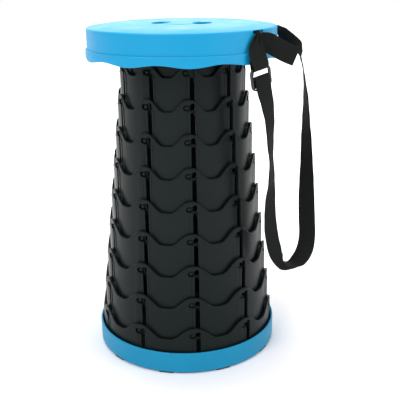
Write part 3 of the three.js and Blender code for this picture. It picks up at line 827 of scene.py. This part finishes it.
def make_feet():
    """Rubber pads with a row of low grip ridges."""
    top = FOOT_STANDOFF + FOOT_SUNK
    for i, turn in enumerate(turns_from(0.5)):
        outline = rounded_bar(*FOOT_SIZE, FOOT_CORNER, FOOT_CIRCLE)
        pad = bevel(prism(f"foot_pad_{i + 1}", outline, FOOT_BOTTOM, top, upward), 0.25)
        ridges = []
        for k in range(RIDGES):
            outline = rounded_bar(*RIDGE_SIZE, RIDGE_CORNER, FOOT_CIRCLE)
            ridges.append(prism("ridge", outline, 0, FOOT_BOTTOM + 0.15, upward))
            across = (k - (RIDGES - 1) / 2) * RIDGE_SPACING
            ridges[k].data.transform(Matrix.Translation((across, 0, 0)))
        pad = joined(f"foot_pad_{i + 1}", [pad, *ridges])
        pad.data.transform(Matrix.Rotation(turn, 4, "Z"))
        place(pad, "base", "foot_rubber", RUBBER, [f"rubber_foot_{i + 1}"])


# Seat

BRIDGE_DISC_RADIUS = 28
BRIDGE_DISC_RISE = 0.5
BRIDGE_DISC_ROOT = 0.4
BRIDGE_DISC_GAP = 1
FINGER_STEPS = 48
GRIP_CUT = 20
DOME_STEPS = 10
RIB_START = 84
RIB_REACH = 115
RIB_HALF_WIDTH = 1
RIB_DEPTH = 3.6
BOSS_BORE = 1.7
BORE_STOP = 0.6
COVER_INNER_CORNER = 1.2

# How far a shape reaches into the one that it is joined to
ROOTED = 0.5


def finger_outline(side, grow):
    """Oval finger hole right or left of the middle, grown all round."""
    c, s = math.cos(math.radians(GRIP_TURN)), math.sin(math.radians(GRIP_TURN))
    outline = []
    for i in range(FINGER_STEPS):
        turn = TURN * i / FINGER_STEPS
        x = side * (GRIP_MIDDLE + (GRIP_HALF_SIZE[0] + grow) * math.cos(turn))
        y = side * (GRIP_HALF_SIZE[1] + grow) * math.sin(turn)
        outline.append((c * x - s * y, s * x + c * y))
    return outline


def strap_slot(azimuth, length):
    top = SEAT_HEIGHT - STRAP_SLOT_DROP
    x, z = length / 2 - 1.2, (2 * top - STRAP_SLOT_HEIGHT) / 2
    outline = arc(x, z, STRAP_SLOT_HEIGHT / 2, -90, 90, 8) + arc(-x, z, STRAP_SLOT_HEIGHT / 2, 90, 270, 8)
    slot = prism("slot", outline, COVER_RADIUS - STRAP_SLOT_DEPTH, COVER_RADIUS + CUT_PAST, outward)
    slot.data.transform(Matrix.Rotation(math.radians(azimuth), 4, "Z"))
    return slot


def domed(drop):
    """Points of a face that falls by drop from its flat middle to the edge of the cover."""
    end = COVER_RADIUS - COVER_EDGE
    shares = [i / DOME_STEPS for i in range(DOME_STEPS + 1)]
    return [(DOME_START + (end - DOME_START) * share, -drop * share ** 1.5) for share in shares]


def make_cover():
    inner = COVER_RADIUS - COVER_WALL
    top, under = SEAT_HEIGHT, COVER_UNDERSIDE
    flat_radius, inner_drop = GRIP_MIDDLE + GRIP_HALF_SIZE[1], DOME_DROP - 1
    outline = [(flat_radius, under)] + [(r, under + z) for r, z in domed(inner_drop)[:-1]]
    corner = COVER_INNER_CORNER
    outline += arc(inner - corner, under - inner_drop - corner, corner, 90, 0, 3)
    outline += [(inner, COVER_FOOT), (COVER_RADIUS, COVER_FOOT)]
    outline += arc(COVER_RADIUS - COVER_EDGE, top - DOME_DROP - COVER_EDGE, COVER_EDGE, 0, 80, 7)
    outline += [(r, top + z) for r, z in reversed(domed(DOME_DROP))] + [(flat_radius, top)]
    cover = lathe("cover_shell", outline, 240, capped=True)
    for side in (-1, 1):
        lip = prism("lip", finger_outline(side, GRIP_WALL), top - GRIP_LIP, under + 1, upward)
        boolean(cover, lip, "UNION")
    for side in (-1, 1):
        hole = finger_outline(side, 0)
        boolean(cover, prism("finger", hole, top - GRIP_CUT, top + CUT_PAST, upward))
    for azimuth, length in STRAP_SLOTS:
        boolean(cover, strap_slot(azimuth, length))
    bevel(cover, 0.9, 3, 60)
    outline = circle(BRIDGE_DISC_RADIUS, 90)
    disc = prism("disc", outline, top - BRIDGE_DISC_ROOT, top + BRIDGE_DISC_RISE, upward)
    for side in (-1, 1):
        hole = finger_outline(side, BRIDGE_DISC_GAP)
        boolean(disc, prism("finger", hole, top - CUT_PAST, top + CUT_PAST, upward))
    bevel(disc, 0.15)
    outline = rectangle(-RIB_HALF_WIDTH, RIB_HALF_WIDTH, under - RIB_DEPTH, under + ROOTED)
    ribs = turned_copies("ribs", prism("rib", outline, RIB_START, RIB_REACH, outward), turns_from(0.75))
    low = under - BOSS_HEIGHT
    boss = prism("boss", circle(BOSS_RADIUS, 24, BOSS_CIRCLE), low, under + ROOTED, upward)
    bore = circle(BOSS_BORE, 18, BOSS_CIRCLE)
    boolean(boss, prism("bore", bore, low - CUT_PAST, under - BORE_STOP, upward))
    bosses = turned_copies("bosses", boss, turns_from(0.5, SCREWS))
    cover = joined("cover_shell", [cover, disc, ribs, bosses])
    return place(cover, "seat", "seat_blue", SEAT_BLUE, ["seat_cover"])


RIM_STEPS = 360
RIM_EDGE = 1.2
RIM_ROLL = 1.1
RIM_LIP = 0.8
RIM_CHAMFER = 0.3


def make_rim():
    """Band round the foot of the cover, with a rolled lower edge that waves in ten lobes."""
    points, faces = [], []
    band_inside = RIM_RADIUS - RIM_BAND
    shoulder_inside = COVER_RADIUS - COVER_WALL
    shoulder = RIM_BOTTOM + LOBE_DEPTH + RIM_SHOULDER
    for i in range(RIM_STEPS):
        angle = TURN * i / RIM_STEPS
        low = RIM_BOTTOM + LOBE_DEPTH - LOBE_DEPTH * (1 + math.cos(SECTORS * angle)) / 2
        outline = arc(RIM_RADIUS - RIM_EDGE, RIM_TOP - RIM_EDGE, RIM_EDGE, 90, 0, 5)
        outline += arc(RIM_RADIUS - RIM_ROLL, low + RIM_ROLL, RIM_ROLL, 0, -90, 4)
        outline += arc(shoulder_inside + RIM_LIP, low + RIM_LIP, RIM_LIP, -90, -180, 3)
        outline += [(shoulder_inside, shoulder), (band_inside, shoulder)]
        outline += [(band_inside, RIM_TOP - RIM_CHAMFER), (band_inside + RIM_CHAMFER, RIM_TOP)]
        points += [around(radius, angle, z) for radius, z in outline]
    count = len(outline)
    for i in range(RIM_STEPS):
        k = (i + 1) % RIM_STEPS
        for j in range(count):
            m = (j + 1) % count
            faces.append((i * count + j, i * count + m, k * count + m, k * count + j))
    return place(new_object("rim_band", points, faces), "seat", "seat_blue", SEAT_BLUE, ["seat_rim"])


SCREW_RADIUS = 1.6
SCREW_LENGTH = 7
HEAD_RADIUS = 3.4
HEAD_EDGE = 1.5
HEAD_BELOW_BOSS = 2.6
CROSS = (3.6, 0.8)
CROSS_DEPTH = 1.1


def make_screws():
    """Pan-head screws with a cross recess, driven up from inside the sleeve."""
    head_top = COVER_UNDERSIDE - BOSS_HEIGHT - HEAD_BELOW_BOSS
    face = head_top - 0.5 - HEAD_EDGE
    for i, turn in enumerate(turns_from(0.5, SCREWS)):
        outline = [(SCREW_RADIUS, head_top + SCREW_LENGTH), (SCREW_RADIUS, head_top), (HEAD_RADIUS, head_top)]
        outline += arc(HEAD_RADIUS - HEAD_EDGE, head_top - 0.5, HEAD_EDGE, 0, -90, 5)
        screw = lathe(f"screw_{i + 1}", list(reversed(outline)), 28, capped=True)
        for length, width in (CROSS, reversed(CROSS)):
            bar = rectangle(-length / 2, length / 2, -width / 2, width / 2)
            boolean(screw, prism("recess", bar, face - 1, face + CROSS_DEPTH, upward))
        screw.data.transform(Matrix.Translation(around(BOSS_CIRCLE, turn, 0)))
        place(screw, "seat", "screw_steel", STEEL, [f"sleeve_screw_{i + 1}"])


# Strap

LOOP_ROUTE = [
    (74.7, -84.8, 440.2), (79.8, -90.6, 440.2), (82.6, -94.2, 440), (83.6, -96.6, 437.6),
    (81.6, -100.2, 431), (80.6, -104.4, 421), (82, -106.4, 413), (84.4, -106, 407),
    (86.5, -105.2, 403.2), (86.8, -104.4, 399.3), (86.6, -103.5, 397.3), (85.7, -101.7, 396.5),
    (84.5, -100.1, 397.3), (83.8, -99.6, 399.3), (83.1, -99.9, 403.7), (82.3, -100.1, 408.1),
]
LOOP_TURNS = [41, 41, 38, 32, 16, 8, 18, 28]
LOOP_WIDTH_SHARES = [0.3, 0.3, 0.26, 0.22, 0.5, 0.84, 0.96]
STRAP_ROUTE = [
    (87.2, -96.9, 374.7), (86.8, -97.4, 378.4), (86.3, -97.9, 382.3), (85.7, -98.4, 386.5),
    (85.9, -99.3, 388.5), (86.8, -101.1, 389.3), (87.9, -102.7, 388.5), (88.7, -103.2, 386.5),
    (89.4, -102.9, 382.3), (90.5, -102.7, 376.5), (91.4, -103.2, 371), (95.2, -101.8, 357),
    (99.4, -98.9, 334), (100.9, -98, 308), (103, -96.2, 282), (104.1, -94.3, 255),
    (103.6, -91.2, 227), (104.3, -88.3, 206), (106.8, -84.4, 183), (113.6, -79, 153),
    (123.7, -73.7, 133), (137.2, -67.7, 124.5), (151, -61.8, 129), (160.5, -56.5, 142),
    (164.4, -51.8, 161), (164.3, -47.7, 182), (163.9, -43.7, 209), (163.7, -40.7, 237),
    (163.5, -37.7, 264), (163, -34.6, 291), (162.4, -31.5, 318), (162, -28.5, 345),
    (160, -25.3, 371), (157.6, -22, 390), (154.9, -17.5, 401.5), (150.8, -12.4, 409),
    (146.6, -7.6, 415), (142.8, -3.6, 420), (139.2, -0.4, 424.4), (136, 2.4, 428.6),
    (132.6, 4.6, 433.4), (129, 5.3, 438.7), (125.4, 5.2, 440.2), (112.9, 4.7, 440.2),
]
STRAP_TURNS = [
    33, 40, 51, 60, 68, 60, 47, 42, 37, 36, 50, 99, 143, 146, 141, 143, 140, 130, 119, 112, 101, 92,
    82, 76,
]
STRAP_TOP_ACROSS = [
    (0, 0.95, 0.3), (0, 0.75, 0.66), (0, 0.2, 0.98), (0.05, -0.15, 0.97), (0.06, -0.4, 0.9),
    (0.06, -0.58, 0.79), (0.05, -0.78, 0.56), (0.04, -0.99, 0.1), (0.04, -1, 0), (0.04, -1, 0),
]
TAIL_ROUTE = [
    (82.7, -94.9, 430), (88.4, -91.4, 429.2), (98, -88, 426.8), (108.5, -87.6, 421),
    (121, -87.4, 414.3), (133.2, -86.6, 409.2),
]
TAIL_ACROSS = [(0, 0, 1), (0.05, 0, 1), (0.25, 0, 0.97), (0.33, 0, 0.94), (0.32, 0, 0.95), (0.28, 0, 0.96)]
TAIL_WIDTH_SHARES = [0.45, 0.9]


def width_at(turn, tilt=0):
    turn, tilt = math.radians(turn), math.radians(tilt)
    return (math.cos(tilt) * math.cos(turn), math.cos(tilt) * math.sin(turn), math.sin(tilt))


def smooth_through(values, spacing):
    """Points on a smooth curve through the given ones, with the matching place between them."""
    points = [Vector(v) for v in values]
    found = []
    for i in range(len(points) - 1):
        a, b = points[i], points[i + 1]
        before = points[i - 1] if i else a * 2 - b
        after = points[i + 2] if i + 2 < len(points) else b * 2 - a
        reach = (b - a).length
        start = (b - before) * (reach / max((b - before).length, 1e-6))
        end = (after - a) * (reach / max((after - a).length, 1e-6))
        steps = max(2, math.ceil(reach / spacing))
        for k in range(steps):
            t = k / steps
            point = (a * (2 * t ** 3 - 3 * t ** 2 + 1) + start * (t ** 3 - 2 * t ** 2 + t)
                     + b * (3 * t ** 2 - 2 * t ** 3) + end * (t ** 3 - t ** 2))
            found.append((point, i + t))
    found.append((points[-1], len(points) - 1.0))
    return found


def across_at(directions, place_along):
    i = min(int(place_along), len(directions) - 2)
    t = place_along - i
    eased = t * t * (3 - 2 * t)
    return (Vector(directions[i]) * (1 - eased) + Vector(directions[i + 1]) * eased).normalized()


# Half of the webbing's section: places across its width, with the half thickness at each
BAND_HALF_SECTION = (
    [(-STRAP_WIDTH / 2, STRAP_THICKNESS / 4), (-11.6, 0.62)]
    + [(across, STRAP_THICKNESS / 2) for across in (-9, -6, -3, 0, 3, 6, 9)]
    + [(11.6, 0.62), (STRAP_WIDTH / 2, STRAP_THICKNESS / 4)]
)
BAND_SECTION = ([(across, -half) for across, half in BAND_HALF_SECTION]
                + list(reversed(BAND_HALF_SECTION)))
PLEAT_HEIGHT = 1.7
PLEATS = 2


def share_at(shares, place_along):
    """Width share at a place along a route, 1 past the last one given."""
    i = int(place_along)
    first = shares[i] if i < len(shares) else 1
    second = shares[i + 1] if i + 1 < len(shares) else 1
    t = place_along - i
    return first + (second - first) * t * t * (3 - 2 * t)


def band(name, route, directions, shares=(), spacing=2.5):
    """Flat webbing along a route, gathered in two pleats where its width share is below 1.

    Its UVs are its width as a share and its length in millimetres.
    """
    line = smooth_through(route, spacing)
    count = len(BAND_SECTION)
    points, travelled = [], [0.0]
    for i, (point, share) in enumerate(line):
        if i:
            travelled.append(travelled[-1] + (point - line[i - 1][0]).length)
        along = (line[min(i + 1, len(line) - 1)][0] - line[max(i - 1, 0)][0]).normalized()
        side = across_at(directions, share)
        side = (side - along * side.dot(along)).normalized()
        face = along.cross(side)
        wide = share_at(shares, share)
        pleat = PLEAT_HEIGHT * math.sqrt(max(1 - wide * wide, 0))
        for across, out in BAND_SECTION:
            fold = pleat * math.cos(TURN * across / STRAP_WIDTH * PLEATS)
            points.append(point + side * across * wide + face * (out + fold))
    obj = new_object(name, points, tube_faces(len(line), count))
    layer = obj.data.uv_layers.new(name="UVMap")
    for loop in obj.data.loops:
        row, j = divmod(loop.vertex_index, count)
        layer.data[loop.index].uv = (BAND_SECTION[j][0] / STRAP_WIDTH + 0.5, travelled[row])
    return obj, [point for point, _ in line]


BUCKLE_CORNER = 8


def make_buckle():
    """Ladder buckle: two rounded rails and three bars."""
    half_w, half_h, half_d = BUCKLE_WIDTH / 2, BUCKLE_HEIGHT / 2, BUCKLE_DEPTH / 2
    corner = BUCKLE_CORNER
    outline = []
    for sx, sz, start in ((1, 1, 0), (-1, 1, 90), (-1, -1, 180), (1, -1, 270)):
        outline += arc(sx * (half_w - corner), sz * (half_h - corner), corner, start, start + 90, 8)
    plate = prism("buckle_plate", outline, -half_d, half_d, outward)
    window = (BUCKLE_HEIGHT - 3 * BUCKLE_BAR) / 2
    for side in (-1, 1):
        middle = side * (BUCKLE_BAR + window) / 2
        x, z = half_w - BUCKLE_RAIL, window / 2
        hole = rectangle(-x, x, middle - z, middle + z)
        boolean(plate, prism("hole", hole, -3 * CUT_PAST, 3 * CUT_PAST, outward))
    bevel(plate, 0.6, 3)
    plate.data.transform(Matrix.Rotation(math.radians(-BUCKLE_TILT), 4, "Y"))
    plate.data.transform(Matrix.Rotation(math.radians(BUCKLE_TURN), 4, "Z"))
    plate.data.transform(Matrix.Translation(BUCKLE_CENTRE))
    return place(plate, "seat", "buckle_black", BUCKLE_BLACK, ["strap_buckle"])


def make_strap():
    along_bars = width_at(BUCKLE_TURN, BUCKLE_TILT)
    directions = [width_at(turn) for turn in STRAP_TURNS] + STRAP_TOP_ACROSS
    directions = [along_bars] * (len(STRAP_ROUTE) - len(directions)) + directions
    strap, line = band("strap_band", STRAP_ROUTE, directions)
    place(strap, "seat", "strap_webbing", WEBBING, ["carry_strap"])
    directions = [width_at(turn) for turn in LOOP_TURNS]
    directions += [along_bars] * (len(LOOP_ROUTE) - len(directions))
    loop, _ = band("loop_band", LOOP_ROUTE, directions, LOOP_WIDTH_SHARES)
    place(loop, "seat", "strap_webbing", WEBBING, ["strap_end_loop"])
    tail, _ = band("tail_band", TAIL_ROUTE, TAIL_ACROSS, TAIL_WIDTH_SHARES)
    place(tail, "seat", "strap_webbing", WEBBING, ["strap_tail"])
    buckle = make_buckle()
    path = [point * MM for point in line]
    length = sum((b - a).length for a, b in zip(path, path[1:]))
    for piece in (strap, loop, tail, buckle):
        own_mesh(piece)


# Studio, in metres and watts

FLOOR_HALF_SIZE = 9
FLOOR_TONE = (0.86, 0.86, 0.865, 1)
SEEN_FLOOR_TONE = (0.975, 0.96, 0.98, 1)
GLOW_START = 0.12
GLOW_FULL = 0.8
WORLD_LIGHT = 0.4
BLACK = (0, 0, 0, 1)
WHITE = (1, 1, 1, 1)

# Lamps, each with its place, the point that it faces, its size and its power
LAMPS = {
    "key_light": ((-1.3, -1.5, 1.7), (0, 0, 0.25), (1.2, 1.2), 24),
    "fill_light": ((1.6, -1.0, 1.0), (0, 0, 0.25), (1.0, 1.4), 10),
    "top_light": ((0, 0.2, 2.0), (0, 0, 0.4), (1.4, 1.4), 27),
    "back_light": ((-0.5, 2.4, 1.15), (0, 0, 0.4), (3.0, 1.3), 15.5),
}


def make_floor():
    """A pale floor that glows away from the stool, so that it keeps only a soft shadow."""
    n = Surface("studio_floor")
    seen = n.seen()
    n.feed(n.shader.inputs["Base Color"], n.mix(seen, FLOOR_TONE, SEEN_FLOOR_TONE))
    n.shader.inputs["Roughness"].default_value = 0.9
    n.shader.inputs["Specular IOR Level"].default_value = 0.05
    where = n.add("ShaderNodeTexCoord").outputs["Object"]
    away = n.add("ShaderNodeVectorMath", {"operation": "LENGTH"}, Vector=where).outputs["Value"]
    glow = n.mix(n.ramp(away, GLOW_START, GLOW_FULL, 0.0, 1.0), BLACK, WHITE)
    n.feed(n.shader.inputs["Emission Color"], glow)
    n.feed(n.shader.inputs["Emission Strength"], seen)
    half = FLOOR_HALF_SIZE
    corners = [(x, y, 0) for x, y in rectangle(-half, half, -half, half)]
    floor = new_object("studio_floor", corners, [(0, 1, 2, 3)])
    floor.data.materials.append(n.material)


def make_world():
    """Even light from all sides, which the camera sees as white."""
    world = bpy.data.worlds.new("studio_world")
    world.use_nodes = True
    n = Nodes(world.node_tree)
    light = n.tree.nodes["Background"]
    light.inputs["Color"].default_value = WHITE
    light.inputs["Strength"].default_value = WORLD_LIGHT
    white = n.add("ShaderNodeBackground", Color=WHITE, Strength=1.0)
    mix = n.add("ShaderNodeMixShader")
    for socket, value in zip(mix.inputs, (n.seen(), light.outputs[0], white.outputs[0])):
        n.feed(socket, value)
    n.feed(n.tree.nodes["World Output"].inputs["Surface"], mix.outputs[0])
    bpy.context.scene.world = world


def area_light(name, location, target, size, power):
    data = bpy.data.lights.new(name, "AREA")
    data.shape = "RECTANGLE"
    data.size, data.size_y = size
    data.energy = power
    lamp = bpy.data.objects.new(name, data)
    bpy.context.collection.objects.link(lamp)
    lamp.location = location
    lamp.rotation_mode = "QUATERNION"
    lamp.rotation_quaternion = (Vector(target) - Vector(location)).to_track_quat("-Z", "Y")


make_strap()
for number in range(RINGS):
    make_ring(number)
make_sleeve()
make_tray()
make_plate()
make_feet()
make_cover()
make_rim()
make_screws()
make_floor()
make_world()
for lamp_name, lamp in LAMPS.items():
    area_light(lamp_name, *lamp)
bpy.context.scene.view_settings.view_transform = "Standard"
